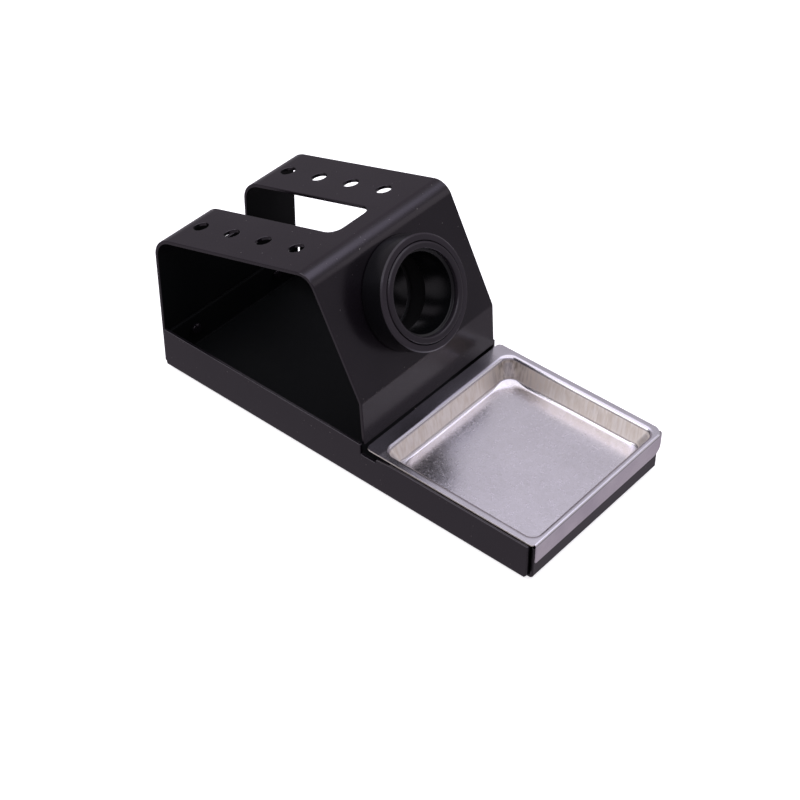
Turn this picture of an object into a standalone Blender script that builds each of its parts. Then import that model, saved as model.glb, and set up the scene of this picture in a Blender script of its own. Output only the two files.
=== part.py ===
"""Soldering iron stand: a bent sheet shell over a shallow base, a turned collar for the iron, and a tray.

X runs across the stand, Y from the tray (-Y) to the back (+Y), Z up.
The origin is on the table, under the middle.
"""

import math

import bmesh
import bpy
from mathutils import Matrix, Vector

# Overall, in metres
SHELL_WIDTH = 0.0800
FOOT_HEIGHT = 0.0018  # the underside of the base stands this far off the table
SHEET = 0.0015  # steel of the base and of the shell
GAP = 0.0003  # between pieces that touch
SAME_PLACE = 0.00001  # closer than this is the same place
BASE_WIDTH = SHELL_WIDTH + 2 * (GAP + SHEET)  # its side flanges clasp the shell

# Base: the floor and four flanges, outside faces
BASE_FRONT = -0.0962
BASE_REAR = 0.0949
FLANGE_TALL = 0.0193  # beside the shell
FLANGE_LOW = 0.0170  # beside the tray
FLANGE_DIP = 0.0162  # where the low part starts, behind the tray
DIP_END = -0.0310
FLANGE_FRONT = 0.0155
FLANGE_REAR = 0.0165
SIDE_REAR = 0.0940  # where the side flanges end, beside the rear flange
SIDE_FRONT = -0.0946  # and stop behind the front flange
TALL_END = -0.0134  # where the tall part of a side flange stops
RELIEF_END = -0.0212  # and where the low part starts, across a relief cut
RELIEF_TOP = 0.0144
CORNER_CUT = 0.0022  # relief at each front corner of the floor
REAR_SLOT = 0.0005  # width of the slot that frees the rear flange from the side flanges
REAR_SLOT_DEPTH = 0.0022  # from the rear flange's outside
BASE_BEND = 0.0018

# Shell: the corners of its outside face as (Y, height over the base's underside), and the bends between them
SHELL_WALL_FOOT = (0.0967, 0.0)
SHELL_WALL_TOP = (0.0967, 0.0635)
SHELL_CREST = (0.0126, 0.0876)
SHELL_KINK = (-0.0128, 0.0384)
SHELL_LIP = (-0.0142, 0.0184)
WALL_BEND = 0.0110
CREST_BEND = 0.0075
KINK_BEND = 0.0020
SLOT_HALF_WIDTH = 0.0111
SLOT_FROM_CREST = 0.0141  # along the top plate
SLOT_CORNER = 0.0050
SLOT_FOOT = 0.0424  # height of the slot's lower end in the rear wall
TIP_HOLE_RADIUS = 0.0032
TIP_HOLE_X = 0.0254
TIP_HOLE_FIRST = 0.0207  # from the crest, along the top plate
TIP_HOLE_PITCH = 0.0180
TIP_HOLES_PER_ROW = 4
CUTTER_LENGTH = 0.0120  # of the round cutters, much longer than the sheet is thick

# Iron holder, along its own axis from the outside of the sloping panel
HOLDER_ALONG_PANEL = 0.0287  # from the crest
HOLDER_PROUD = 0.0112
HOLDER_RADIUS = 0.0229
SEAT_RADIUS = 0.0201  # counterbore of the ring, where the sleeve's flange sits
SEAT_DEPTH = 0.0030
SLEEVE_RADIUS = 0.0182
SLEEVE_BORE = 0.0158
SLEEVE_BACK = 0.0245  # behind the outside of the panel
MOUTH_RADIUS = 0.0169
MOUTH_DEPTH = 0.0018
MOUTH_SLOPE = 0.0006
BEAD_INSIDE_SLOPE = 0.0008
BEAD_OUTSIDE_SLOPE = 0.0009
BEAD_SHOULDER = 0.0002
BEAD_DROP = 0.0005
BEAD_HEIGHT = 0.0007
NUT_RADIUS = 0.0222
NUT_LENGTH = 0.0048
PANEL_HOLE_RADIUS = 0.0186
TURNED_EDGE = 0.0006  # chamfer on the turned edges

# Tray
TRAY_STEEL = 0.0006
TRAY_SHIFT = 0.0010  # it lies nearer the flange on +X
RIM_HALF_WIDTH = 0.0415
RIM_TOP = FLANGE_LOW + GAP + TRAY_STEEL
RIM_REAR = -0.0150
RIM_FRONT = BASE_FRONT - GAP - TRAY_STEEL
RIM_CORNER = 0.0025
PAN_HALF_WIDTH = 0.0377
PAN_REAR = -0.0225
PAN_FRONT = -0.0938
PAN_CORNER = 0.0045
PAN_FLOOR = 0.0078
PAN_DRAFT = 0.0013
MOUTH_FILLET = 0.0013
FLOOR_FILLET = 0.0022
LIP_FOOT = 0.0090
TAB_HALF_WIDTH = 0.0113
TAB_REACH = 0.0004

# Feet and rivets
FOOT_RADIUS = 0.0050
FOOT_INSET = 0.0110
FOOT_EDGE = 0.0004
RIVET_X = 0.0250
RIVET_HEIGHT = 0.0100
RIVET_SHANK = 0.0016
RIVET_HEAD_RADIUS = 0.0032
RIVET_HEAD = 0.0010
RIVET_TAIL_RADIUS = 0.0025
RIVET_TAIL = 0.0016

BLACK_POWDER_COAT = ("black_powder_coat", (0.012, 0.010, 0.013), 0.42, 0.0)
BLACK_ANODISED = ("black_anodised", (0.010, 0.010, 0.011), 0.30, 0.0)
BLACK_RESIN = ("black_resin", (0.009, 0.009, 0.010), 0.28, 0.0)
BRIGHT_STEEL = ("bright_steel", (0.62, 0.60, 0.63), 0.30, 1.0)
BLACK_RUBBER = ("black_rubber", (0.015, 0.015, 0.015), 0.80, 0.0)


def clear_scene():
    for old in list(bpy.data.objects):
        bpy.data.objects.remove(old, do_unlink=True)


def make_collection(name, cutters=False):
    collection = bpy.data.collections.new(name)
    bpy.context.scene.collection.children.link(collection)
    collection.hide_render = cutters
    return collection


def material(finish):
    name, colour, roughness, metallic = finish
    made = bpy.data.materials.get(name) or bpy.data.materials.new(name)
    made.use_nodes = True
    shader = made.node_tree.nodes["Principled BSDF"]
    shader.inputs["Base Color"].default_value = (*colour, 1.0)
    shader.inputs["Roughness"].default_value = roughness
    shader.inputs["Metallic"].default_value = metallic
    return made


def make_object(name, mesh_builder, collection, finish=None):
    """An object from a bmesh, in a collection, with its material."""
    mesh = bpy.data.meshes.new(name)
    mesh_builder.to_mesh(mesh)
    mesh_builder.free()
    made = bpy.data.objects.new(name, mesh)
    collection.objects.link(made)
    if finish:
        mesh.materials.append(material(finish))
    else:
        made.hide_render = True
        made.display_type = "WIRE"
    return made


def solidify(made, thickness, side=-1.0):
    """Thickens an open surface away from its normals (side -1) or along them (side 1)."""
    modifier = made.modifiers.new("thickness", "SOLIDIFY")
    modifier.thickness = thickness
    modifier.offset = side
    modifier.use_even_offset = True
    modifier.use_quality_normals = True


def cut(made, cutters):
    modifier = made.modifiers.new("cuts", "BOOLEAN")
    modifier.operation = "DIFFERENCE"
    modifier.operand_type = "COLLECTION"
    modifier.collection = cutters
    modifier.solver = "EXACT"


def round_corner(before, corner, after, radius, steps):
    """Points of the arc that rounds one corner of an outline, from before's side to after's."""
    to_before = (before - corner).normalized()
    to_after = (after - corner).normalized()
    half = to_before.angle(to_after) / 2
    centre = corner + (to_before + to_after).normalized() * (radius / math.sin(half))
    start = corner + to_before * (radius / math.tan(half)) - centre
    turn = math.pi - 2 * half
    if start.cross(corner - centre) < 0:
        turn = -turn
    cosine_sine = [(math.cos(turn * i / steps), math.sin(turn * i / steps)) for i in range(steps + 1)]
    return [centre + Vector((start.x * c - start.y * s, start.x * s + start.y * c)) for c, s in cosine_sine]


def turned(name, outline, axis, collection, finish, steps=48):
    """A turned piece: outline is (radius, height), down the outside and up the inside, spun about axis."""
    builder = bmesh.new()
    corners = [builder.verts.new((radius, 0.0, height)) for radius, height in outline]
    for start, end in zip(corners, corners[1:] + corners[:1], strict=True):
        if start.co.x > 0 or end.co.x > 0:
            builder.edges.new((start, end))
    made = make_object(name, builder, collection, finish)
    made.matrix_world = axis
    screw = made.modifiers.new("turn", "SCREW")
    screw.steps = screw.render_steps = steps
    screw.use_merge_vertices = True
    screw.merge_threshold = 0.00005
    screw.use_smooth_shade = False
    return made


def orient(builder, end, facing):
    """Makes the normals agree, and turns them so that the face farthest towards end looks along facing."""
    bmesh.ops.recalc_face_normals(builder, faces=builder.faces)
    last = max(builder.faces, key=lambda face: face.calc_center_median().dot(end))
    if last.normal.dot(facing) < 0:
        bmesh.ops.reverse_faces(builder, faces=builder.faces)


def cylinder_cutter(name, radius, length, placement, collection, segments=32):
    builder = bmesh.new()
    bmesh.ops.create_cone(
        builder,
        cap_ends=True,
        segments=segments,
        radius1=radius,
        radius2=radius,
        depth=length,
        matrix=placement,
    )
    return make_object(name, builder, collection)


# ---------------------------------------------------------------- where the shell's faces lie


def panel_frames():
    """The top plate and the sloping panel: (crest point, direction away from the crest, outward normal)."""
    crest = Vector((0.0, SHELL_CREST[0], SHELL_CREST[1] + FOOT_HEIGHT))
    frames = []
    for corner, sign in ((SHELL_WALL_TOP, 1.0), (SHELL_KINK, -1.0)):
        far = Vector((0.0, corner[0], corner[1] + FOOT_HEIGHT))
        away = (far - crest).normalized()
        normal = Vector((0.0, -away.z, away.y)) * sign
        frames.append((crest, away, normal))
    return frames


def axis_frame(origin, along):
    """A placement whose Z axis runs along a direction in the plane X = 0."""
    across = Vector((1.0, 0.0, 0.0))
    third = along.cross(across)
    frame = Matrix((across, third, along)).transposed().to_4x4()
    return Matrix.Translation(origin) @ frame


# ---------------------------------------------------------------- base


def side_flange_outline():
    """(Y, height) of a side flange from the rear of its bend, round its top, to the front of its bend."""
    return [
        (SIDE_REAR, 0.0),
        (SIDE_REAR, FLANGE_TALL),
        (TALL_END, FLANGE_TALL),
        (TALL_END, RELIEF_TOP),
        (RELIEF_END, RELIEF_TOP),
        (RELIEF_END, FLANGE_DIP),
        (DIP_END, FLANGE_LOW),
        (SIDE_FRONT, FLANGE_LOW),
        (SIDE_FRONT, CORNER_CUT),
        (SIDE_FRONT + CORNER_CUT, 0.0),
    ]


def floor_outline():
    """The floor between its bends, relieved at each corner, anticlockwise from above."""
    half, cut_x = BASE_WIDTH / 2, BASE_WIDTH / 2 - CORNER_CUT
    side_front, slot_end = SIDE_FRONT + CORNER_CUT, BASE_REAR - REAR_SLOT_DEPTH
    right = [
        (cut_x, BASE_FRONT),
        (cut_x, side_front),
        (half, side_front),
        (half, SIDE_REAR),
        (cut_x, SIDE_REAR),
        (cut_x, slot_end),
        (cut_x - REAR_SLOT, slot_end),
        (cut_x - REAR_SLOT, BASE_REAR),
    ]
    return right + [(-x, y) for x, y in reversed(right)]


def add_flange(builder, points, bends):
    """One flange as a flat face; its bend is the edge that it shares with the floor."""
    corners = [builder.verts.new((x, y, z + FOOT_HEIGHT)) for x, y, z in points]
    builder.faces.new(corners)
    bends.append((corners[0].co.copy(), corners[-1].co.copy()))


def build_base(parts, cutters):
    builder = bmesh.new()
    bends = []
    floor = [builder.verts.new((x, y, FOOT_HEIGHT)) for x, y in floor_outline()]
    builder.faces.new(reversed(floor))
    for side in (-1, 1):
        outline = [(side * BASE_WIDTH / 2, y, z) for y, z in side_flange_outline()]
        add_flange(builder, outline, bends)
    end = BASE_WIDTH / 2 - CORNER_CUT
    rear_end = end - REAR_SLOT
    for half, y, top in ((end, BASE_FRONT, FLANGE_FRONT), (rear_end, BASE_REAR, FLANGE_REAR)):
        add_flange(builder, [(-half, y, 0.0), (-half, y, top), (half, y, top), (half, y, 0.0)], bends)
    bmesh.ops.remove_doubles(builder, verts=builder.verts, dist=0.00001)
    down = Vector((0.0, 0.0, -1.0))
    orient(builder, down, down)
    weight = builder.edges.layers.float.new("bevel_weight_edge")
    for edge in builder.edges:
        edge[weight] = 1.0 if len(edge.link_faces) == 2 else 0.0
    made = make_object("base", builder, parts, BLACK_POWDER_COAT)
    bend = made.modifiers.new("bends", "BEVEL")
    bend.limit_method = "WEIGHT"
    bend.width = BASE_BEND
    bend.segments = 3
    solidify(made, SHEET)
    cut(made, cutters)
    return made


# ---------------------------------------------------------------- shell


def shell_outline():
    """(Y, Z) of the shell's outside face, from the foot of the rear wall to the front strip's lower edge."""
    corners = [SHELL_WALL_FOOT, SHELL_WALL_TOP, SHELL_CREST, SHELL_KINK, SHELL_LIP]
    corners = [Vector((y, z + FOOT_HEIGHT)) for y, z in corners]
    outline = [corners[0]]
    for index, (radius, steps) in enumerate(((WALL_BEND, 7), (CREST_BEND, 7), (KINK_BEND, 3)), start=1):
        outline += round_corner(corners[index - 1], corners[index], corners[index + 1], radius, steps)
    return [*outline, corners[-1]]


def slot_cutter(cutters):
    """The deep slot, seen square to the top plate, run down through the top and out past the rear wall."""
    crest, away, normal = panel_frames()[0]
    half = SLOT_HALF_WIDTH
    far = SHELL_WALL_TOP[0] + CUTTER_LENGTH  # well past the rear wall
    flat = [Vector((-half, far)), Vector((-half, SLOT_FROM_CREST)), Vector((half, SLOT_FROM_CREST))]
    flat.append(Vector((half, far)))
    outline = [flat[0]]
    outline += round_corner(flat[0], flat[1], flat[2], SLOT_CORNER, 6)
    outline += round_corner(flat[1], flat[2], flat[3], SLOT_CORNER, 6)
    outline.append(flat[3])
    builder = bmesh.new()
    lift = normal * CUTTER_LENGTH
    rim = [builder.verts.new(crest + Vector((p.x, 0, 0)) + away * p.y + lift) for p in outline]
    face = builder.faces.new(rim)
    made = bmesh.ops.extrude_face_region(builder, geom=[face])
    moved = [item for item in made["geom"] if isinstance(item, bmesh.types.BMVert)]
    depth = normal * -1.5 * CUTTER_LENGTH
    bmesh.ops.translate(builder, verts=moved, vec=depth)
    bmesh.ops.recalc_face_normals(builder, faces=builder.faces)
    make_object("slot_top_cutter", builder, cutters)
    top, foot = SHELL_WALL_TOP[1] + 0.020, SLOT_FOOT
    builder = bmesh.new()
    bmesh.ops.create_cube(
        builder,
        size=1.0,
        matrix=Matrix.Translation((0.0, SHELL_WALL_TOP[0], (top + foot) / 2 + FOOT_HEIGHT))
        @ Matrix.Diagonal((2 * half, 4 * WALL_BEND, top - foot, 1.0)),
    )
    lower = [edge for edge in builder.edges if all(v.co.z < foot + FOOT_HEIGHT + 0.001 for v in edge.verts)]
    lower = [edge for edge in lower if abs(edge.verts[0].co.x - edge.verts[1].co.x) < 0.001]
    bmesh.ops.bevel(builder, geom=lower, offset=SLOT_CORNER, segments=6, affect="EDGES", profile=0.5)
    make_object("slot_wall_cutter", builder, cutters)


def hole_cutters(cutters):
    crest, away, normal = panel_frames()[0]
    for side, row in ((-1, "near"), (1, "far")):
        for number in range(TIP_HOLES_PER_ROW):
            along = TIP_HOLE_FIRST + number * TIP_HOLE_PITCH
            centre = crest + away * along + Vector((side * TIP_HOLE_X, 0.0, 0.0))
            placement = axis_frame(centre, normal)
            name = f"tip_hole_cutter_{row}_{number}"
            cylinder_cutter(name, TIP_HOLE_RADIUS, CUTTER_LENGTH, placement, cutters, 24)
    cylinder_cutter("holder_hole_cutter", PANEL_HOLE_RADIUS, CUTTER_LENGTH, holder_frame(), cutters, 48)


def rivet_frames():
    """Placements of the rivets, Z along the shank and out of the rear wall, origin on the wall's outside."""
    height = RIVET_HEIGHT + FOOT_HEIGHT
    for side, label in ((-1, "left"), (1, "right")):
        spot = Vector((side * RIVET_X, SHELL_WALL_FOOT[0], height))
        yield label, axis_frame(spot, Vector((0.0, 1.0, 0.0)))


def rivet_cutters(cutters):
    for label, frame in rivet_frames():
        cylinder_cutter(f"rivet_hole_cutter_{label}", RIVET_SHANK + GAP, CUTTER_LENGTH, frame, cutters, 20)


def build_shell(parts, cutters):
    builder = bmesh.new()
    half = SHELL_WIDTH / 2
    edge = [builder.verts.new((-half, y, z)) for y, z in shell_outline()]
    strip = [builder.edges.new(pair) for pair in zip(edge, edge[1:], strict=False)]
    made = bmesh.ops.extrude_edge_only(builder, edges=strip)
    moved = [item for item in made["geom"] if isinstance(item, bmesh.types.BMVert)]
    bmesh.ops.translate(builder, verts=moved, vec=(SHELL_WIDTH, 0.0, 0.0))
    rearwards = Vector((0.0, 1.0, 0.0))
    orient(builder, rearwards, rearwards)
    shell = make_object("shell", builder, parts, BLACK_POWDER_COAT)
    solidify(shell, SHEET)
    cut(shell, cutters)
    return shell


# ---------------------------------------------------------------- iron holder


def holder_frame():
    """Placement of the holder: origin on the panel's outside face, Z out along the holder's axis."""
    crest, away, normal = panel_frames()[1]
    return axis_frame(crest + away * HOLDER_ALONG_PANEL, normal)


def build_holder(parts):
    frame = holder_frame()
    edge = TURNED_EDGE
    seat = HOLDER_PROUD - SEAT_DEPTH
    ring = [
        (HOLDER_RADIUS - edge, HOLDER_PROUD),
        (HOLDER_RADIUS, HOLDER_PROUD - edge),
        (HOLDER_RADIUS, GAP),
        (SLEEVE_RADIUS + GAP, GAP),
        (SLEEVE_RADIUS + GAP, seat),
        (SEAT_RADIUS, seat),
        (SEAT_RADIUS, HOLDER_PROUD),
    ]
    turned("holder_ring", ring, frame, parts, BLACK_ANODISED)
    flange = SEAT_RADIUS - GAP
    bead = HOLDER_PROUD + BEAD_HEIGHT
    step = HOLDER_PROUD - MOUTH_DEPTH
    sleeve = [
        (MOUTH_RADIUS + BEAD_INSIDE_SLOPE, bead),
        (flange - BEAD_OUTSIDE_SLOPE, bead),
        (flange - BEAD_SHOULDER, bead - BEAD_DROP),
        (flange, HOLDER_PROUD - BEAD_SHOULDER),
        (flange, seat + GAP),
        (SLEEVE_RADIUS, seat + GAP),
        (SLEEVE_RADIUS, -SLEEVE_BACK + edge),
        (SLEEVE_RADIUS - edge, -SLEEVE_BACK),
        (SLEEVE_BORE + edge, -SLEEVE_BACK),
        (SLEEVE_BORE, -SLEEVE_BACK + edge),
        (SLEEVE_BORE, step - BEAD_INSIDE_SLOPE),
        (SLEEVE_BORE + MOUTH_SLOPE, step),
        (MOUTH_RADIUS, step),
        (MOUTH_RADIUS, bead - MOUTH_SLOPE),
    ]
    turned("holder_sleeve", sleeve, frame, parts, BLACK_RESIN)
    top = -SHEET - GAP
    nut = [
        (NUT_RADIUS - edge, top),
        (NUT_RADIUS, top - edge),
        (NUT_RADIUS, top - NUT_LENGTH + edge),
        (NUT_RADIUS - edge, top - NUT_LENGTH),
        (SLEEVE_RADIUS + GAP, top - NUT_LENGTH),
        (SLEEVE_RADIUS + GAP, top),
    ]
    turned("holder_nut", nut, frame, parts, BLACK_ANODISED)


# ---------------------------------------------------------------- tray


def rounded_rectangle(left, right, front, rear, radius, steps=5):
    """Points of a rounded rectangle, anticlockwise from the rear-left corner's arc."""
    flat = [Vector((left, rear)), Vector((left, front)), Vector((right, front)), Vector((right, rear))]
    points = []
    for index, corner in enumerate(flat):
        points += round_corner(flat[index - 1], corner, flat[(index + 1) % 4], radius, steps)
    return points


def tray_rings():
    """The tray's upper surface: rounded rectangles from the rim's edge down to the floor's, (points, Z)."""

    def ring(half, front, rear, radius, height):
        shift = TRAY_SHIFT
        points = rounded_rectangle(-half + shift, half + shift, front, rear, radius)
        return points, height + FOOT_HEIGHT

    rings = [ring(RIM_HALF_WIDTH, RIM_FRONT, RIM_REAR, RIM_CORNER, RIM_TOP)]
    for step in range(4):
        turn = math.radians(90 * step / 3)
        out = MOUTH_FILLET * (1 - math.sin(turn))
        down = MOUTH_FILLET * (1 - math.cos(turn))
        # the front fold is tighter than the other three sides
        front = PAN_FRONT - out * 0.8
        corner = PAN_CORNER + out
        rings.append(ring(PAN_HALF_WIDTH + out, front, PAN_REAR + out, corner, RIM_TOP - down))
    for step in range(4):
        turn = math.radians(90 * step / 3)
        inward = PAN_DRAFT + FLOOR_FILLET * (1 - math.cos(turn))
        height = PAN_FLOOR + FLOOR_FILLET * (1 - math.sin(turn))
        half, corner = PAN_HALF_WIDTH - inward, PAN_CORNER - inward * 0.3
        rings.append(ring(half, PAN_FRONT + inward, PAN_REAR - inward, corner, height))
    return rings


def build_tray(parts):
    builder = bmesh.new()
    loops = []
    for points, height in tray_rings():
        loops.append([builder.verts.new((p.x, p.y, height)) for p in points])
    for outer, inner in zip(loops, loops[1:], strict=False):
        for index in range(len(outer)):
            after = (index + 1) % len(outer)
            builder.faces.new((outer[index], outer[after], inner[after], inner[index]))
    builder.faces.new(loops[-1])
    rim = loops[0]
    drop_lip(builder, rim)
    reach_tab(builder, rim)
    up = Vector((0.0, 0.0, 1.0))
    orient(builder, -up, up)
    tray = make_object("tray", builder, parts, BRIGHT_STEEL)
    solidify(tray, TRAY_STEEL)
    return tray


def longest_edge(rim, builder, at_y):
    """The rim's long straight edge that lies on Y = at_y."""
    pairs = zip(rim, rim[1:] + rim[:1], strict=True)
    level = [pair for pair in pairs if all(abs(v.co.y - at_y) < 0.00005 for v in pair)]
    first, second = max(level, key=lambda pair: (pair[0].co - pair[1].co).length)
    return builder.edges.get((first, second))


def split_edge_at(builder, edge, places):
    """Splits an edge that runs along X at each place, and returns the middle piece."""
    low = min(edge.verts, key=lambda v: v.co.x)
    for place in sorted(places):
        high = edge.other_vert(low)
        share = (place - low.co.x) / (high.co.x - low.co.x)
        _, low = bmesh.utils.edge_split(edge, low, share)
        edge = next(e for e in low.link_edges if e.other_vert(low) is high)
    level = [e for e in low.link_edges if abs(e.verts[0].co.y - e.verts[1].co.y) < SAME_PLACE]
    return next(e for e in level if e is not edge)


def drop_lip(builder, rim):
    """Folds the front of the rim down over the base's front flange."""
    edge = longest_edge(rim, builder, RIM_FRONT)
    made = bmesh.ops.extrude_edge_only(builder, edges=[edge])
    moved = [item for item in made["geom"] if isinstance(item, bmesh.types.BMVert)]
    bmesh.ops.translate(builder, verts=moved, vec=(0.0, 0.0, LIP_FOOT - RIM_TOP))


def reach_tab(builder, rim):
    """The short tab in the middle of the rear rim."""
    edge = longest_edge(rim, builder, RIM_REAR)
    middle = split_edge_at(builder, edge, (TRAY_SHIFT - TAB_HALF_WIDTH, TRAY_SHIFT + TAB_HALF_WIDTH))
    made = bmesh.ops.extrude_edge_only(builder, edges=[middle])
    moved = [item for item in made["geom"] if isinstance(item, bmesh.types.BMVert)]
    bmesh.ops.translate(builder, verts=moved, vec=(0.0, TAB_REACH, 0.0))


# ---------------------------------------------------------------- feet and rivets


def build_feet(parts):
    top = FOOT_HEIGHT - GAP
    pad = [
        (0.0, top),
        (FOOT_RADIUS, top),
        (FOOT_RADIUS, FOOT_EDGE),
        (FOOT_RADIUS - FOOT_EDGE, 0.0),
        (0.0, 0.0),
    ]
    half = BASE_WIDTH / 2 - FOOT_INSET
    rows = (("front", BASE_FRONT + FOOT_INSET), ("rear", BASE_REAR - FOOT_INSET))
    for row, y in rows:
        for side, x in (("left", -half), ("right", half)):
            turned(f"foot_{row}_{side}", pad, Matrix.Translation((x, y, 0.0)), parts, BLACK_RUBBER, 28)


def build_rivets(parts):
    inside = SHELL_WALL_FOOT[0] - BASE_REAR + SHEET + GAP
    shape = [
        (0.0, GAP + RIVET_HEAD),
        (RIVET_HEAD_RADIUS * 0.6, GAP + RIVET_HEAD * 0.82),
        (RIVET_HEAD_RADIUS * 0.92, GAP + RIVET_HEAD * 0.4),
        (RIVET_HEAD_RADIUS, GAP),
        (RIVET_SHANK, GAP),
        (RIVET_SHANK, -inside),
        (RIVET_TAIL_RADIUS, -inside),
        (RIVET_TAIL_RADIUS, -inside - RIVET_TAIL * 0.7),
        (RIVET_SHANK, -inside - RIVET_TAIL),
        (0.0, -inside - RIVET_TAIL),
    ]
    for label, frame in rivet_frames():
        turned(f"rear_rivet_{label}", shape, frame, parts, BLACK_POWDER_COAT, 20)


def main():
    clear_scene()
    parts = make_collection("soldering_iron_stand")
    shell_cutters = make_collection("shell_cutters", cutters=True)
    rivet_hole_cutters = make_collection("rivet_hole_cutters", cutters=True)
    shell_cutters.children.link(rivet_hole_cutters)
    slot_cutter(shell_cutters)
    hole_cutters(shell_cutters)
    rivet_cutters(rivet_hole_cutters)
    build_base(parts, rivet_hole_cutters)
    build_shell(parts, shell_cutters)
    build_holder(parts)
    build_tray(parts)
    build_feet(parts)
    build_rivets(parts)


main()
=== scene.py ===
"""The looks of the soldering iron stand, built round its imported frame.

Two folded sheets with a fine black powder coat, a turned black collar, a drawn bright tray,
rubber feet and rivets.
"""

import math

import bmesh
import bpy
from mathutils import Matrix, Vector, noise


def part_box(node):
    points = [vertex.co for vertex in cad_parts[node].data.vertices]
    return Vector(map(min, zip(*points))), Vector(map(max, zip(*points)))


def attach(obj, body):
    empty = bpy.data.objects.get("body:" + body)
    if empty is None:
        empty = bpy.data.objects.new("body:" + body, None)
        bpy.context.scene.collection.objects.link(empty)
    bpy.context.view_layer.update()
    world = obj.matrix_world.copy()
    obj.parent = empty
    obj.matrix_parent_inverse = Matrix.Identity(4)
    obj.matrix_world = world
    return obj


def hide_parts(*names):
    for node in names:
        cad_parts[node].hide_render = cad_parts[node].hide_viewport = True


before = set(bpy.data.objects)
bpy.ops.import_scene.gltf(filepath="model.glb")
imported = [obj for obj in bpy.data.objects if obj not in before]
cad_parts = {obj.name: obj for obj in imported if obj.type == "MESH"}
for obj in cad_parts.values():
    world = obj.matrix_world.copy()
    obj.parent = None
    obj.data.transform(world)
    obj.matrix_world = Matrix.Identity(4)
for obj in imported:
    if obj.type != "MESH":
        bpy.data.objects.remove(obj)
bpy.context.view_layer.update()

MM = 0.001

# Sheets, as the frame has them
SHEET = 1.5 * MM
SHEET_EDGE = 0.32 * MM  # rounding of a coated edge
GAP = 0.3 * MM  # clearance between pieces
HALF_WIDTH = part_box("shell")[1].x
FLOOR_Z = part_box("base")[0].z  # underside of the base

# Working distances: points closer together than a weld become one
ON_A_CUT = 0.001 * MM  # a point closer to a cut than this lies on it
TURNED_WELD = 0.002 * MM
SHEET_WELD = 0.004 * MM
ROUNDING = 1e-9  # slack for the arithmetic, in metres
SHARP_DEGREES = 50.0  # edges that turn more than this stay sharp

# Base, heights over its underside
BASE_HALF_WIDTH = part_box("base")[1].x
BASE_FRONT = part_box("base")[0].y
BASE_REAR = 94.9 * MM
SIDE_FRONT = -94.6 * MM
SIDE_REAR = 94.0 * MM
BASE_BEND = 1.8 * MM
CORNER_CUT = 2.2 * MM
REAR_SLOT = 0.5 * MM
REAR_SLOT_DEPTH = 2.2 * MM
FLANGE_TALL = 19.3 * MM
FLANGE_LOW = 17.0 * MM
FLANGE_DIP = 16.2 * MM
DIP_END = -31.0 * MM
FLANGE_FRONT = 15.5 * MM
FLANGE_REAR = 16.5 * MM
TALL_END = -13.4 * MM
RELIEF_END = -21.2 * MM
RELIEF_TOP = 14.4 * MM
FLANGE_CORNER = 0.4 * MM  # roundings in the flat blank
FRONT_CORNER = 0.8 * MM
CUT_CORNER = 0.3 * MM
DIP_ROUNDING = 20 * MM
BASE_INSIDE = Vector((0, 0.0, 0.02))  # a point in the channel; inside faces look towards it

# Shell: corners of its outside as (Y, height over the base's underside), in millimetres
SHELL_CORNERS = [(96.7, 0.0), (96.7, 63.5), (12.6, 87.6), (-12.8, 38.4), (-14.2, 18.4)]
SHELL_BENDS = [11.0 * MM, 7.5 * MM, 2.0 * MM]
BLANK_CORNER = SHEET_EDGE * 2
SLOT_HALF_WIDTH = 11.1 * MM
SLOT_FROM_CREST = 14.1 * MM
SLOT_CORNER = 5.0 * MM
SLOT_FOOT = 42.4 * MM
TIP_HOLE_RADIUS = 3.2 * MM
TIP_HOLE_X = 25.4 * MM
TIP_HOLES = [(20.7 + 18.0 * number) * MM for number in range(4)]
SHELL_INSIDE = Vector((0, 0.04, 0.035))  # a point in the hollow; inside faces look towards it

# Rivets, and their holes in the shell
RIVET_X = 25.0 * MM
RIVET_HEIGHT = 10.0 * MM
RIVET_HOLE_RADIUS = 1.9 * MM
RIVET_SHANK_RADIUS = 1.6 * MM
RIVET_HEAD = 1.0 * MM  # height of the head
RIVET_DOME = 0.12 * MM  # drop of the dome at its shoulder
RIVET_SHOULDER = 0.62  # the shoulder's radius, as a share of the head's
RIVET_TAIL = 1.6 * MM  # height of the pressed end
RIVET_TAIL_RADIUS = 2.5 * MM
RIVET_TAIL_SLOPE = 0.5 * MM

# Collar, along its axis from the outside of the sloping panel
HOLDER_ALONG_PANEL = 28.7 * MM
HOLDER_RADIUS = 22.9 * MM
HOLDER_PROUD = 11.2 * MM
SLEEVE_BACK = -24.5 * MM
PANEL_HOLE_RADIUS = 18.6 * MM
RING_CHAMFER = 0.6 * MM
RING_BORE = 18.5 * MM
SEAT_RADIUS = 20.1 * MM  # of the step that takes the sleeve's flange
SEAT_DEPTH = 3.0 * MM
SLEEVE_RADIUS = 18.2 * MM
SLEEVE_BORE = 15.8 * MM
BEAD_OUTSIDE = 19.8 * MM
BEAD_INSIDE = 16.9 * MM
BEAD_PROUD = 0.7 * MM
BEAD_FOOT = 1.8 * MM  # depths of the mouth's slope, from the bead down to the bore
MOUTH_FOOT = 2.1 * MM
NUT_RADIUS = 22.2 * MM
NUT_LENGTH = 4.8 * MM
GROOVE_TOP = -6.2 * MM  # of the sleeve's inner groove
GROOVE_FOOT = -15.5 * MM
GROOVE_RADIUS = 17.2 * MM
GROOVE_SLOPE = 0.4 * MM

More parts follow.
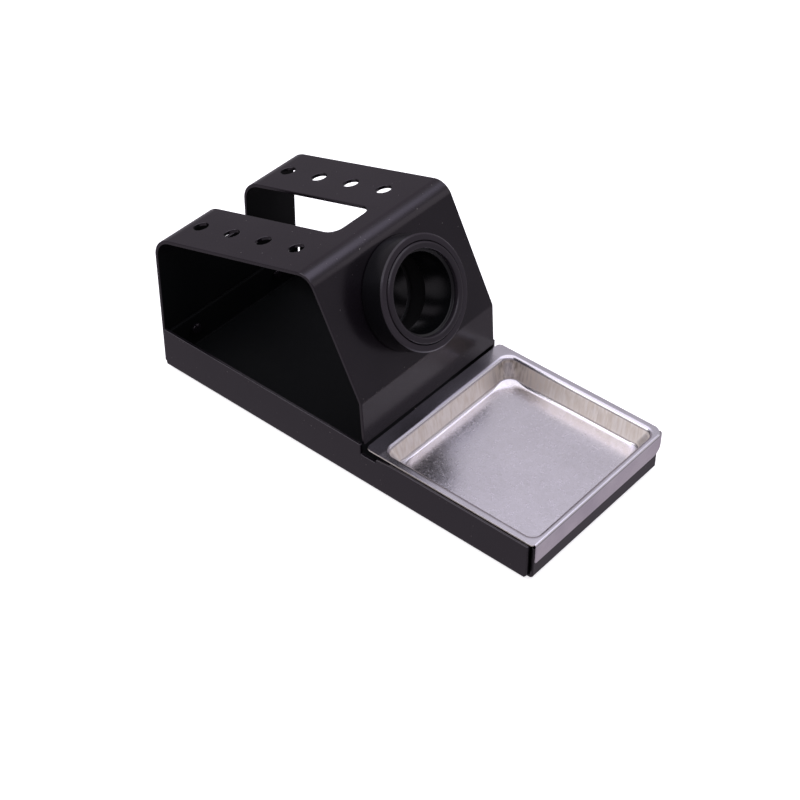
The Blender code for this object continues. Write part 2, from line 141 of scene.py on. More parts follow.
# Tray: the mouth lines are where the walls would meet the rim without a fillet
TRAY_STEEL = 0.6 * MM
TRAY_EDGE = 0.12 * MM  # rounding of its cut edges
TRAY_SHIFT = 1.0 * MM  # how far towards +X it lies
RIM_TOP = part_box("tray")[1].z
TRAY_FLOOR = FLOOR_Z + 7.8 * MM
MOUTH_HALF_WIDTH = 37.7 * MM
MOUTH_FRONT = -93.8 * MM
MOUTH_REAR = -22.5 * MM
MOUTH_FILLETS = {"side": 1.8 * MM, "front": 1.5 * MM, "rear": 2.0 * MM}
RIM_REACH = (3.79 * MM, 2.1 * MM, 7.5 * MM)  # past the mouth lines: sides, front, rear
RIM_RADII = (2.2 * MM, 1.2 * MM, 3.6 * MM, 2.2 * MM)  # rear left, front left, front right, rear right
RIM_INNER_RADIUS = 5.4 * MM
WALL_CORNER = 3.6 * MM
WALL_CORNER_GROWTH = 2.8 * MM  # down to the start of the floor's fillet
WALL_DRAFT = 1.2 * MM
WALL_RIPPLE = 0.09 * MM
FLOOR_FILLET = 1.9 * MM
FLOOR_CORNER = 6.4 * MM
FLOOR_CORNER_GROWTH = 6.0 * MM  # down to the flat of the floor
FLOOR_EDGE_CORNER = 12.4 * MM
FLOOR_HALF_DEPTH = 35.6 * MM  # of the mouth, nearly
FLOOR_SAG = 0.10 * MM
FLOOR_RIPPLE = 0.06 * MM
LIP_FOOT = FLOOR_Z + 9.0 * MM
LIP_BEND = 1.2 * MM
LIP_START, LIP_END = -8, 44  # lean of the rim's edge, in degrees, between which the lip folds down
LIP_CORNER = 5.5 * MM
LIP_LEAST_DROP = 0.1  # share of the full drop, at its right end
REAR_EDGE = -15.01 * MM  # only the rim's rear edge lies past this Y
TAB_HALF_WIDTH = 11.5 * MM
TAB_LENGTH = 0.4 * MM


# ---------------------------------------------------------------- outlines


def arc_corner(before, corner, after, radius, step_degrees):
    """Points of the arc that rounds one corner of an outline in the plane."""
    to_before = (before - corner).normalized()
    to_after = (after - corner).normalized()
    half = to_before.angle(to_after) / 2
    centre = corner + (to_before + to_after).normalized() * (radius / math.sin(half))
    start = corner + to_before * (radius / math.tan(half)) - centre
    turn = math.copysign(math.pi - 2 * half, start.cross(corner - centre))
    steps = max(2, math.ceil(abs(math.degrees(turn)) / step_degrees))
    return [centre + Matrix.Rotation(turn * i / steps, 2) @ start for i in range(steps + 1)]


def rounded(corners, step_degrees):
    """A closed outline from (x, y, radius) corners."""
    points = []
    for index, (x, y, radius) in enumerate(corners):
        before, after = corners[index - 1], corners[(index + 1) % len(corners)]
        if radius > 0:
            flat = [Vector(p[:2]) for p in (before, (x, y), after)]
            points += arc_corner(*flat, radius, step_degrees)
        else:
            points.append(Vector((x, y)))
    return points


def circle(x, y, radius, steps):
    """A closed outline round (x, y)."""
    turns = [2 * math.pi * i / steps for i in range(steps)]
    return [Vector((x + radius * math.cos(t), y + radius * math.sin(t))) for t in turns]


# ---------------------------------------------------------------- folded sheets


class Fold:
    """The path that a sheet's outside face follows: flat runs and left-hand bends.

    Distances are measured along that face."""

    def __init__(self, start, heading, runs):
        self.runs = []
        point, distance = Vector(start), 0.0
        for length, turn, radius in runs:
            self.runs.append((distance, point.copy(), heading, radius))
            if turn:
                centre = point + radius * Vector((-math.sin(heading), math.cos(heading)))
                heading += turn
                point = centre + radius * Vector((math.sin(heading), -math.cos(heading)))
                distance += radius * turn
            else:
                point += length * Vector((math.cos(heading), math.sin(heading)))
                distance += length
        self.length = distance

    def place(self, along, height):
        """Where the point lies that is this far along the path and this height outside the face."""
        begun = [run for run in self.runs if run[0] <= along + ROUNDING]
        start, point, heading, radius = max(begun, key=lambda run: run[0])
        along -= start
        if radius:
            centre = point + radius * Vector((-math.sin(heading), math.cos(heading)))
            heading += along / radius
            return centre + (radius + height) * Vector((math.sin(heading), -math.cos(heading)))
        forward = Vector((math.cos(heading), math.sin(heading)))
        return point + along * forward + height * Vector((forward.y, -forward.x))

    def bend_lines(self, step_degrees=5.0):
        """Distances along the path at which a flat sheet is cut so that it can bend."""
        ends = [run[0] for run in self.runs[1:]] + [self.length]
        for (start, _, _, radius), end in zip(self.runs, ends, strict=True):
            if radius:
                steps = math.ceil(math.degrees((end - start) / radius) / step_degrees)
                yield from (start + (end - start) * i / steps for i in range(steps + 1))


def flat_sheet(name, outlines):
    """The flat blank as a bmesh: its outside face at Z = 0, its edges rounded, one sheet thick."""
    curve = bpy.data.curves.new(name, "CURVE")
    curve.dimensions = "2D"
    curve.fill_mode = "BOTH"
    curve.bevel_depth = SHEET_EDGE
    curve.bevel_resolution = 2
    curve.offset = -SHEET_EDGE
    curve.extrude = SHEET / 2 - SHEET_EDGE
    for outline in outlines:
        spline = curve.splines.new("POLY")
        spline.points.add(len(outline) - 1)
        spline.use_cyclic_u = True
        for target, point in zip(spline.points, outline, strict=True):
            target.co = (point.x, point.y, 0.0, 1.0)
    holder = bpy.data.objects.new(name, curve)
    bpy.context.scene.collection.objects.link(holder)
    graph = bpy.context.evaluated_depsgraph_get()
    mesh = bpy.data.meshes.new_from_object(holder.evaluated_get(graph))
    bpy.data.objects.remove(holder)
    builder = bmesh.new()
    builder.from_mesh(mesh)
    bpy.data.meshes.remove(mesh)
    bmesh.ops.remove_doubles(builder, verts=builder.verts, dist=SHEET_WELD)
    bmesh.ops.translate(builder, verts=builder.verts, vec=(0, 0, -SHEET / 2))
    return builder


def cut_lines(builder, places, across):
    """Splits the blank along lines at these places; across is the direction that they are measured in."""
    for place in places:
        normal = Vector(across)
        bmesh.ops.bisect_plane(
            builder,
            geom=[*builder.verts, *builder.edges, *builder.faces],
            dist=ON_A_CUT,
            plane_co=normal * place,
            plane_no=normal,
        )


# ---------------------------------------------------------------- pieces


def piece(name, mesh, material, body, stands_for):
    """An object of the stand: rides on a body, takes a finish and stands for CAD nodes."""
    made = bpy.data.objects.new(name, mesh)
    bpy.context.scene.collection.objects.link(made)
    mesh.materials.append(material)
    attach(made, body)
    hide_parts(*stands_for)
    return made


def to_mesh(name, builder):
    """Turns the builder into a smooth-shaded mesh with its sharp edges marked."""
    bmesh.ops.recalc_face_normals(builder, faces=builder.faces)
    mesh = bpy.data.meshes.new(name)
    builder.to_mesh(mesh)
    builder.free()
    mesh.shade_smooth()
    mesh.set_sharp_from_angle(angle=math.radians(SHARP_DEGREES))
    return mesh


def coat_inside(made, material, is_inside):
    """Gives the inside coat, painted darker as shade, to the faces whose middle and normal say that they
    are inside.
    """
    made.data.materials.append(material)
    for polygon in made.data.polygons:
        if is_inside(polygon.center, polygon.normal):
            polygon.material_index = 1


def weigh_normals(made):
    """Keeps the shading of flat faces flat beside their rounded edges."""
    modifier = made.modifiers.new("flat faces stay flat", "WEIGHTED_NORMAL")
    modifier.keep_sharp = True
    modifier.weight = 90


def make_shell(material, inside_material):
    """One blank with its slot and holes, folded into rear wall, top, slope and front strip."""
    corners = [Vector((y, z)) * MM + Vector((0, FLOOR_Z)) for y, z in SHELL_CORNERS]
    sides = list(zip(corners, corners[1:], strict=False))
    headings = [math.atan2(*reversed(end - start)) % (2 * math.pi) for start, end in sides]
    turns = [after - before for before, after in zip(headings, headings[1:], strict=False)]
    trims = [radius * math.tan(turn / 2) for radius, turn in zip(SHELL_BENDS, turns, strict=True)]
    runs = []
    for index, (start, end) in enumerate(sides):
        taken = (trims[index - 1] if index else 0) + (trims[index] if index < len(trims) else 0)
        runs.append(((end - start).length - taken, 0, 0))
        if index < len(trims):
            runs.append((0, turns[index], SHELL_BENDS[index]))
    fold = Fold(corners[0], headings[0], runs)
    bend_start, bend_end = (run[0] for run in fold.runs[3:5])  # of the crest, the path's fourth run
    crest = bend_start + trims[1]  # where the crest's sharp corner would be, on the top plate's line
    slope_crest = bend_end - trims[1]  # and on the slope's line
    outline = [
        (0, -HALF_WIDTH, BLANK_CORNER),
        (fold.length, -HALF_WIDTH, BLANK_CORNER),
        (fold.length, HALF_WIDTH, BLANK_CORNER),
        (0, HALF_WIDTH, BLANK_CORNER),
    ]
    slot_end = crest - SLOT_FROM_CREST
    slot = [
        (SLOT_FOOT, -SLOT_HALF_WIDTH, SLOT_CORNER),
        (slot_end, -SLOT_HALF_WIDTH, SLOT_CORNER),
        (slot_end, SLOT_HALF_WIDTH, SLOT_CORNER),
        (SLOT_FOOT, SLOT_HALF_WIDTH, SLOT_CORNER),
    ]
    outlines = [rounded(outline, 30), rounded(slot, 6)]
    for side in (-1, 1):
        outlines += [circle(crest - along, side * TIP_HOLE_X, TIP_HOLE_RADIUS, 48) for along in TIP_HOLES]
        outlines.append(circle(RIVET_HEIGHT, side * RIVET_X, RIVET_HOLE_RADIUS, 24))
    outlines.append(circle(slope_crest + HOLDER_ALONG_PANEL, 0, PANEL_HOLE_RADIUS, 96))
    builder = flat_sheet("shell", outlines)
    cut_lines(builder, fold.bend_lines(), (1, 0, 0))
    for vertex in builder.verts:
        along, x, height = vertex.co
        spot = fold.place(along, height)
        vertex.co = (x, spot.x, spot.y)
    mesh = to_mesh("shell_sheet", builder)
    made = piece("shell_sheet", mesh, material, "stand", ["shell"])

    def is_inside(spot, normal):
        return abs(normal.x) < 0.5 and normal.dot(SHELL_INSIDE - spot) > 10 * MM

    coat_inside(made, inside_material, is_inside)
    weigh_normals(made)


def rise(height):
    """How far along the outside of a flange a height is, past the start of its bend."""
    if height < BASE_BEND:
        return BASE_BEND * math.acos(1 - height / BASE_BEND)
    return BASE_BEND * math.pi / 2 + height - BASE_BEND


def make_base(material, inside_material):
    """One cross-shaped blank, folded up on all four sides."""
    side = BASE_HALF_WIDTH - BASE_BEND
    front_inner = SIDE_FRONT + CORNER_CUT
    profile = [
        (SIDE_REAR, 0.0, 0.0),
        (SIDE_REAR, FLANGE_TALL, FLANGE_CORNER),
        (TALL_END, FLANGE_TALL, FLANGE_CORNER),
        (TALL_END, RELIEF_TOP, FLANGE_CORNER),
        (RELIEF_END, RELIEF_TOP, FLANGE_CORNER),
        (RELIEF_END, FLANGE_DIP, FLANGE_CORNER),
        (DIP_END, FLANGE_LOW, DIP_ROUNDING),
        (SIDE_FRONT, FLANGE_LOW, FLANGE_CORNER),
        (SIDE_FRONT, CORNER_CUT, FRONT_CORNER),
        (front_inner, 0.0, 0.0),
    ]
    right = [(side + rise(z), y, radius) for y, z, radius in profile]
    left = [(-x, y, radius) for x, y, radius in reversed(right)]
    end = BASE_HALF_WIDTH - CORNER_CUT
    front_reach = BASE_FRONT + BASE_BEND - rise(FLANGE_FRONT)
    rear_reach = BASE_REAR - BASE_BEND + rise(FLANGE_REAR)
    front_flap = [(end, front_reach, FLANGE_CORNER), (-end, front_reach, FLANGE_CORNER)]
    rear_end = end - REAR_SLOT
    rear_flap = [(-rear_end, rear_reach, FLANGE_CORNER), (rear_end, rear_reach, FLANGE_CORNER)]
    slot_end = BASE_REAR - REAR_SLOT_DEPTH
    outline = [*right, (end, front_inner, CUT_CORNER), *front_flap, (-end, front_inner, CUT_CORNER)]
    outline += [*left, (-end, SIDE_REAR, 0), (-end, slot_end, 0), (-rear_end, slot_end, 0), *rear_flap]
    outline += [(rear_end, slot_end, 0), (end, slot_end, 0), (end, SIDE_REAR, 0)]
    builder = flat_sheet("base", [rounded(outline, 20)])
    bmesh.ops.scale(builder, verts=builder.verts, vec=(1, 1, -1))
    folds = {}
    for key, reach in (("side", side), ("front", -BASE_FRONT - BASE_BEND), ("rear", BASE_REAR - BASE_BEND)):
        folds[key] = Fold((0, FLOOR_Z), 0.0, [(reach, 0, 0), (0, math.pi / 2, BASE_BEND), (1.0, 0, 0)])
    lines = list(folds["side"].bend_lines(9))
    cut_lines(builder, [*lines, *(-line for line in lines)], (1, 0, 0))
    cut_lines(builder, [-line for line in folds["front"].bend_lines(9)], (0, 1, 0))
    cut_lines(builder, folds["rear"].bend_lines(9), (0, 1, 0))
    for vertex in builder.verts:
        x, y, z = vertex.co
        if abs(x) > side:
            spot = folds["side"].place(abs(x), -z)
            vertex.co = (math.copysign(spot.x, x), y, spot.y)
        else:
            spot = folds["rear" if y > 0 else "front"].place(abs(y), -z)
            vertex.co = (x, math.copysign(spot.x, y), spot.y)
    mesh = to_mesh("base_sheet", builder)
    made = piece("base_sheet", mesh, material, "stand", ["base"])

    def is_inside(spot, normal):
        return spot.y > TALL_END and normal.dot(BASE_INSIDE - spot) > 1 * MM

    coat_inside(made, inside_material, is_inside)
    weigh_normals(made)


# ---------------------------------------------------------------- turned pieces


def turned(name, outline, placement, steps=160):
    """The mesh of a turned piece; outline holds (radius, height, rounding) corners, closed."""
    builder = bmesh.new()
    points = rounded(outline, 15)
    rings = []
    for step in range(steps):
        turn = Matrix.Rotation(2 * math.pi * step / steps, 4, "Z")
        rings.append([builder.verts.new(placement @ turn @ Vector((p.x, 0, p.y))) for p in points])
    for ring, after in zip(rings, rings[1:] + rings[:1], strict=True):
        for index in range(len(points)):
            other = (index + 1) % len(points)
            builder.faces.new((ring[index], ring[other], after[other], after[index]))
    bmesh.ops.remove_doubles(builder, verts=builder.verts, dist=TURNED_WELD)
    return to_mesh(name, builder)


def holder_placement():
    """Origin on the panel's outside, Z out along the collar's axis."""
    crest, kink = (Vector((0, y, z)) * MM + Vector((0, 0, FLOOR_Z)) for y, z in SHELL_CORNERS[2:4])
    away = (kink - crest).normalized()
    axis = Vector((0, away.z, -away.y))
    across = Vector((1, 0, 0))
    turn = Matrix((across, axis.cross(across), axis)).transposed().to_4x4()
    return Matrix.Translation(crest + away * HOLDER_ALONG_PANEL) @ turn


def make_holder(ring_material, sleeve_material):
    """The collar: a ring outside the panel, a beaded sleeve through it and a ring nut behind it."""
    placement = holder_placement()
    top = HOLDER_PROUD
    seat = top - SEAT_DEPTH
    ring = [
        (HOLDER_RADIUS - RING_CHAMFER, top, 0.12 * MM),
        (HOLDER_RADIUS, top - RING_CHAMFER, 0.15 * MM),
        (HOLDER_RADIUS, GAP, 0.35 * MM),
        (RING_BORE, GAP, 0.1 * MM),
        (RING_BORE, seat, 0.1 * MM),
        (SEAT_RADIUS, seat, 0.1 * MM),
        (SEAT_RADIUS, top, 0.2 * MM),
    ]
    mesh = turned("holder_outer_ring", ring, placement)
    piece("holder_outer_ring", mesh, ring_material, "stand", ["holder_ring"])
    bead = top + BEAD_PROUD
    sleeve = [
        (BEAD_INSIDE, bead, 0.75 * MM),
        (BEAD_OUTSIDE, bead, 0.9 * MM),
        (BEAD_OUTSIDE, seat + GAP, 0.1 * MM),
        (SLEEVE_RADIUS, seat + GAP, 0.1 * MM),
        (SLEEVE_RADIUS, SLEEVE_BACK, 0.5 * MM),
        (SLEEVE_BORE, SLEEVE_BACK, 0.5 * MM),
        (SLEEVE_BORE, GROOVE_FOOT - GROOVE_SLOPE, 0.2 * MM),
        (GROOVE_RADIUS, GROOVE_FOOT, 0.2 * MM),
        (GROOVE_RADIUS, GROOVE_TOP, 0.2 * MM),
        (SLEEVE_BORE, GROOVE_TOP + GROOVE_SLOPE, 0.2 * MM),
        (SLEEVE_BORE, top - MOUTH_FOOT, 0.3 * MM),
        (BEAD_INSIDE, top - BEAD_FOOT, 0.2 * MM),
    ]
    mesh = turned("holder_beaded_sleeve", sleeve, placement)
    piece("holder_beaded_sleeve", mesh, sleeve_material, "stand", ["holder_sleeve"])
    under = -SHEET - GAP
    nut = [
        (NUT_RADIUS, under, 0.5 * MM),
        (NUT_RADIUS, under - NUT_LENGTH, 0.5 * MM),
        (RING_BORE, under - NUT_LENGTH, 0.3 * MM),
        (RING_BORE, under, 0.3 * MM),
    ]
    mesh = turned("holder_ring_nut", nut, placement)
    piece("holder_ring_nut", mesh, ring_material, "stand", ["holder_nut"])


def make_feet(material):
    """Four round pads, each filling its node's box."""
    for row in ("front", "rear"):
        for side in ("left", "right"):
            node = f"foot_{row}_{side}"
            low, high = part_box(node)
            middle = (low + high) / 2
            radius, tall = (high.x - low.x) / 2, high.z - low.z
            outline = [(0, tall, 0), (radius, tall, 0.15 * MM), (radius, 0, 0.4 * MM), (0, 0, 0)]
            mesh = turned(f"{node}_pad", outline, Matrix.Translation((middle.x, middle.y, low.z)), 64)
            piece(f"{node}_pad", mesh, material, "stand", [node])


def make_rivets(material):
    """Two rivets through the rear wall: a low domed head outside, a pressed end inside."""
    for side in ("left", "right"):
        node = f"rear_rivet_{side}"
        low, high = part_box(node)
        middle = (low + high) / 2
        length = high.y - low.y
        radius = (high.x - low.x) / 2
        outline = [
            (0, 0, 0),
            (radius * RIVET_SHOULDER, -RIVET_DOME, 1.6 * MM),
            (radius, -RIVET_HEAD, 0.12 * MM),
            (RIVET_SHANK_RADIUS, -RIVET_HEAD, 0.05 * MM),
            (RIVET_SHANK_RADIUS, -length + RIVET_TAIL, 0.05 * MM),
            (RIVET_TAIL_RADIUS, -length + RIVET_TAIL, 0.1 * MM),
            (RIVET_TAIL_RADIUS, -length + RIVET_TAIL_SLOPE, 0.3 * MM),
            (RIVET_SHANK_RADIUS, -length, 0.2 * MM),
            (0, -length, 0),
        ]
        turn = Matrix.Rotation(-math.pi / 2, 4, "X")
        placement = Matrix.Translation((middle.x, high.y, middle.z)) @ turn
        mesh = turned(f"{node}_head", outline, placement, 64)
        piece(f"{node}_head", mesh, material, "stand", [node])


# ---------------------------------------------------------------- tray


SIDE_POINTS = 110
CORNER_POINTS = 22


def tray_loop(left, right, front, rear, radii):
    """Stations round a rounded rectangle, anticlockwise from the rear left: (place, outward normal).

    radii holds the corner radii in the order rear left, front left, front right, rear right."""
    corners = [(left, rear), (left, front), (right, front), (right, rear)]
    inward = [(1, -1), (1, 1), (-1, 1), (-1, -1)]
    stations = []
    for index, ((x, y), (dx, dy)) in enumerate(zip(corners, inward, strict=True)):
        radius = radii[index]
        centre = Vector((x + dx * radius, y + dy * radius))
        start = math.pi / 2 + index * math.pi / 2
        for step in range(CORNER_POINTS + 1):
            turn = start + math.pi / 2 * step / CORNER_POINTS
            normal = Vector((math.cos(turn), math.sin(turn)))
            stations.append((centre + radius * normal, normal))
        after = (index + 1) % 4
        ex, ey = corners[after]
        fx, fy = inward[after]
        next_centre = Vector((ex + fx * radii[after], ey + fy * radii[after]))
        begin = stations[-1][0]
        finish = next_centre + radii[after] * normal
        for step in range(1, SIDE_POINTS):
            stations.append((begin.lerp(finish, step / SIDE_POINTS), normal.copy()))
    return stations


def by_side(normal, side, front, rear):
    """A value that differs between the sides, the front and the rear, turning smoothly at the corners."""
    across = normal.x * normal.x
    return side * across + (front if normal.y < 0 else rear) * (1 - across)


def ripple(place, scale, seed):
    """Smooth noise of about -1..1 over the plan; scale is the size of its waves."""
    return noise.noise(Vector((place.x / scale, place.y / scale, seed)))


def tray_rings():
    """Rings of (x, y, z) points from the rim's edge, down the wall, to the middle of the floor."""
    fillet = MOUTH_FILLETS
    rings = []

    def outside(side, front, rear):
        """The rectangle that lies this far outside the pan's mouth lines."""
        half = MOUTH_HALF_WIDTH + side
        return -half + TRAY_SHIFT, half + TRAY_SHIFT, MOUTH_FRONT - front, MOUTH_REAR + rear

    def inside(inset, corner):
        """Stations round the rectangle that lies this far inside the mouth lines, with equal corners."""
        return tray_loop(*outside(-inset, -inset, -inset), [corner] * 4)

    # The flat rim, from its edge inwards
    for share in (1.0, 0.97, 0.6, 0.25):
        pairs = zip(fillet.values(), RIM_REACH, strict=True)
        reach = [size + (edge - size) * share for size, edge in pairs]
        radii = [RIM_INNER_RADIUS + (radius - RIM_INNER_RADIUS) * share for radius in RIM_RADII]
        rings.append([(place.x, place.y, RIM_TOP) for place, _ in tray_loop(*outside(*reach), radii)])

    # The mouth's fillet
    for step in range(11):
        turn = math.radians(9 * step)
        reach = [size * (1 - math.sin(turn)) for size in fillet.values()]
        ring = []
        for place, normal in tray_loop(*outside(*reach), [WALL_CORNER + reach[0]] * 4):
            size = by_side(normal, **fillet)
            ring.append((place.x, place.y, RIM_TOP - size * (1 - math.cos(turn))))
        rings.append(ring)

    # The drafted wall, with faint ripples
    wall_foot = TRAY_FLOOR + FLOOR_FILLET
    for step in range(1, 9):
        share = step / 8
        swell = math.sin(math.pi * share) ** 2 * WALL_RIPPLE
        ring = []
        for place, normal in inside(WALL_DRAFT * share, WALL_CORNER + WALL_CORNER_GROWTH * share):
            wave = swell * (ripple(place, 1.5 * MM, 3.0) + 0.8 * ripple(place, 5.0 * MM, 8.0))
            top = RIM_TOP - by_side(normal, **fillet)
            ring.append((*(place + normal * wave), top + (wall_foot - top) * share))
        rings.append(ring)

    # The fillet at the wall's foot
    for step in range(1, 13):
        turn = math.radians(90 * step / 12)
        inset = WALL_DRAFT + FLOOR_FILLET * (1 - math.cos(turn))
        corner = FLOOR_CORNER + FLOOR_CORNER_GROWTH * (1 - math.cos(turn))
        height = TRAY_FLOOR + FLOOR_FILLET * (1 - math.sin(turn))
        rings.append([(place.x, place.y, height) for place, _ in inside(inset, corner)])

    # The floor, sagging a little towards its middle
    floor_inset = WALL_DRAFT + FLOOR_FILLET
    for step in range(1, 12):
        share = step / 12
        inset = floor_inset + (FLOOR_HALF_DEPTH - floor_inset) * share
        sag = -FLOOR_SAG * math.sin(math.pi / 2 * share)
        ring = []
        for place, _ in inside(inset, FLOOR_EDGE_CORNER * (1 - share)):
            wave = FLOOR_RIPPLE * ripple(place, 22 * MM, 1.0) * min(1.0, 4 * share)
            ring.append((place.x, place.y, TRAY_FLOOR + sag + wave))
        rings.append(ring)
    return rings


def front_fold(edge):
    """Where the front lip folds down from the rim: (vertex, outward direction, share of the full drop).

    It starts at the left corner, wraps round the right one, and its lower right corner is rounded off."""
    _, left_radius, right_radius, _ = RIM_RADII
    front = min(vertex.co.y for vertex in edge)
    left = min(vertex.co.x for vertex in edge) + left_radius
    right = max(vertex.co.x for vertex in edge) - right_radius
    fold = []
    for vertex in edge:
        x, y, _ = vertex.co
        radius = right_radius if x > 0 else left_radius
        middle = Vector((min(max(x, left), right), front + radius))
        lean = math.degrees(math.atan2(x - middle.x, middle.y - y))
        if y <= middle.y and LIP_START <= lean <= LIP_END:
            away = Vector((x - middle.x, y - middle.y, 0)).normalized()
            fold.append((vertex, away))
    fold.sort(key=lambda item: item[0].co.x)
    last = fold[-1][0].co
    made = []
    for vertex, away in fold:
        short = 1 - min(1.0, (vertex.co - last).length / LIP_CORNER)
        made.append((vertex, away, max(LIP_LEAST_DROP, math.sqrt(1 - short * short))))
    return made


def make_tray(material):
    """The drawn pan as a surface with a front lip and a rear tab, thickened downwards."""
    builder = bmesh.new()
    loops = [[builder.verts.new(point) for point in ring] for ring in tray_rings()]
    for outer, inner in zip(loops, loops[1:], strict=False):
        for index in range(len(outer)):
            after = (index + 1) % len(outer)
            builder.faces.new((outer[index], outer[after], inner[after], inner[index]))
    builder.faces.new(loops[-1])
    edge = loops[0]
    lip = front_fold(edge)
    previous = [vertex for vertex, _, _ in lip]
    turns = [math.radians(90 * step / 10) for step in range(1, 11)]
    path = [(LIP_BEND * math.sin(turn), LIP_BEND * (1 - math.cos(turn)), 0.0) for turn in turns]
    path += [(LIP_BEND, LIP_BEND, share) for share in (0.25, 0.5, 0.75, 1.0)]
    drop = RIM_TOP - LIP_FOOT - LIP_BEND
    for out, down, share in path:
        row = []
        for vertex, away, depth in lip:
            place = vertex.co + away * out
            row.append(builder.verts.new((place.x, place.y, RIM_TOP - down - drop * depth * share)))
        for index in range(len(row) - 1):
            builder.faces.new((previous[index], previous[index + 1], row[index + 1], row[index]))
        previous = row
    rear = [vertex for vertex in edge if vertex.co.y > REAR_EDGE]
    tab = [vertex for vertex in rear if abs(vertex.co.x - TRAY_SHIFT) <= TAB_HALF_WIDTH]
    tab.sort(key=lambda vertex: vertex.co.x)
    row = [builder.verts.new(vertex.co + Vector((0, TAB_LENGTH, 0))) for vertex in tab]
    for index in range(len(row) - 1):
        builder.faces.new((tab[index], tab[index + 1], row[index + 1], row[index]))
    bmesh.ops.recalc_face_normals(builder, faces=builder.faces)
    lowest = min(builder.faces, key=lambda face: face.calc_center_median().z)
    if lowest.normal.z < 0:
        bmesh.ops.reverse_faces(builder, faces=builder.faces)
    mesh = bpy.data.meshes.new("drawn_tray")
    builder.to_mesh(mesh)
    builder.free()
    mesh.shade_smooth()
    made = piece("drawn_tray", mesh, material, "tray", ["tray"])
    thickness = made.modifiers.new("thickness", "SOLIDIFY")
    thickness.thickness = TRAY_STEEL
    thickness.offset = -1
    bevel = made.modifiers.new("cut edges", "BEVEL")
    bevel.limit_method = "ANGLE"
    bevel.angle_limit = math.radians(60)
    bevel.width = TRAY_EDGE
    bevel.segments = 2
    bevel.use_clamp_overlap = True
    weigh_normals(made)


# ---------------------------------------------------------------- materials


class Nodes:
    """Short hand for building a material's nodes."""

    def __init__(self, name):
        self.material = bpy.data.materials.new(name)
        self.material.use_nodes = True
        self.tree = self.material.node_tree
        self.shader = self.tree.nodes["Principled BSDF"]

    def add(self, kind, properties=None, **inputs):
        node = self.tree.nodes.new("ShaderNode" + kind)
        for key, value in (properties or {}).items():
            setattr(node, key, value)
        for key, value in inputs.items():
            self.set(node, key.replace("_", " "), value)
        return node

    def set(self, node, key, value):
        socket = node.inputs[int(key)] if key.isdigit() else node.inputs[key]
        if isinstance(value, bpy.types.NodeSocket):
            self.tree.links.new(value, socket)
        else:
            socket.default_value = value

    def place(self, scale=(1, 1, 1)):
        """The point in the stand's frame, in metres, stretched by scale."""
        coordinates = self.add("TexCoord")
        mapping = self.add("Mapping", Vector=coordinates.outputs["Object"], Scale=scale)
        return mapping.outputs["Vector"]

    def noise(self, scale, detail=2.0, roughness=0.5, stretch=(1, 1, 1)):
        vector = self.place(stretch)
        node = self.add("TexNoise", None, Vector=vector, Scale=scale, Detail=detail, Roughness=roughness)
        return node.outputs["Fac"]

    def spread(self, value, low, high, start=0.0, end=1.0):
        """Maps value from start..end to low..high, and stays between those."""
        node = self.add("MapRange")
        settings = {"Value": value, "From Min": start, "From Max": end, "To Min": low, "To Max": high}
        for key, number in settings.items():
            self.set(node, key, number)
        return node.outputs["Result"]

    def maths(self, operation, first, second=0.0):
        node = self.add("Math", {"operation": operation})
        self.set(node, "0", first)
        self.set(node, "1", second)
        return node.outputs[0]

    def blend(self, factor, first, second):
        node = self.add("Mix", {"data_type": "RGBA"})
        for key, value in ((0, factor), (6, first), (7, second)):
            if isinstance(value, bpy.types.NodeSocket):
                self.tree.links.new(value, node.inputs[key])
            else:
                node.inputs[key].default_value = value
        return node.outputs[2]

    def bump(self, height, strength, distance):
        node = self.add("Bump", None, Height=height, Strength=strength, Distance=distance)
        return node.outputs["Normal"]

    def finish(self, **inputs):
        for key, value in inputs.items():
            self.set(self.shader, key.replace("_", " "), value)
        return self.material


def grey(value):
    return (value, value, value, 1.0)


def powder_coat():
    """Fine satin black powder coat: orange peel, faint clouding and a little dust."""
    made = Nodes("black_powder_coat")
    peel = made.noise(1400, 2.0)
    grain = made.noise(5200, 1.0)
    cloud = made.noise(45, 3.0)
    dust = made.noise(900, 1.0, 0.3)
    speck = made.spread(dust, 0.0, 1.0, 0.775, 0.815)
    made.shader.inputs["Specular IOR Level"].default_value = 0.62
    made.shader.inputs["Specular Tint"].default_value = (1.0, 0.93, 1.0, 1)
    dark_tint, light_tint = (0.0055, 0.0042, 0.0062, 1), (0.0075, 0.0058, 0.0080, 1)
    tint = made.blend(made.spread(cloud, 0, 1, 0.35, 0.65), dark_tint, light_tint)
    colour = made.blend(speck, tint, (0.10, 0.095, 0.09, 1))
    height = made.maths("ADD", peel, made.maths("MULTIPLY", grain, 0.35))
    return made.finish(
        Base_Color=colour,
        Roughness=made.spread(cloud, 0.19, 0.26, 0.3, 0.7),
        Normal=made.bump(height, 0.35, 0.03 * MM),
    )


def inside_shade_coat():
    """The coat deep inside the shell and the channel: darker and duller than outside, as painted shade."""
    made = Nodes("black_powder_coat_painted_shade")
    cloud = made.noise(45, 3.0)
    made.shader.inputs["Specular IOR Level"].default_value = 0.1
    return made.finish(
        Base_Color=made.blend(cloud, (0.0035, 0.0042, 0.0045, 1), (0.0050, 0.0055, 0.0058, 1)),
        Roughness=made.spread(cloud, 0.55, 0.65, 0.3, 0.7),
        Normal=made.bump(made.noise(1400, 2.0), 0.35, 0.03 * MM),
    )


def along_collar(made):
    """How far out along the collar's axis a point is, from the panel's outside."""
    placement = holder_placement()
    axis = placement.to_3x3() @ Vector((0, 0, 1))
    start = placement.translation
    position = made.add("SeparateXYZ", None, Vector=made.place())
    rearward = made.maths("MULTIPLY", position.outputs["Y"], axis.y)
    upward = made.maths("MULTIPLY", position.outputs["Z"], axis.z)
    return made.maths("SUBTRACT", made.maths("ADD", rearward, upward), start.dot(axis))


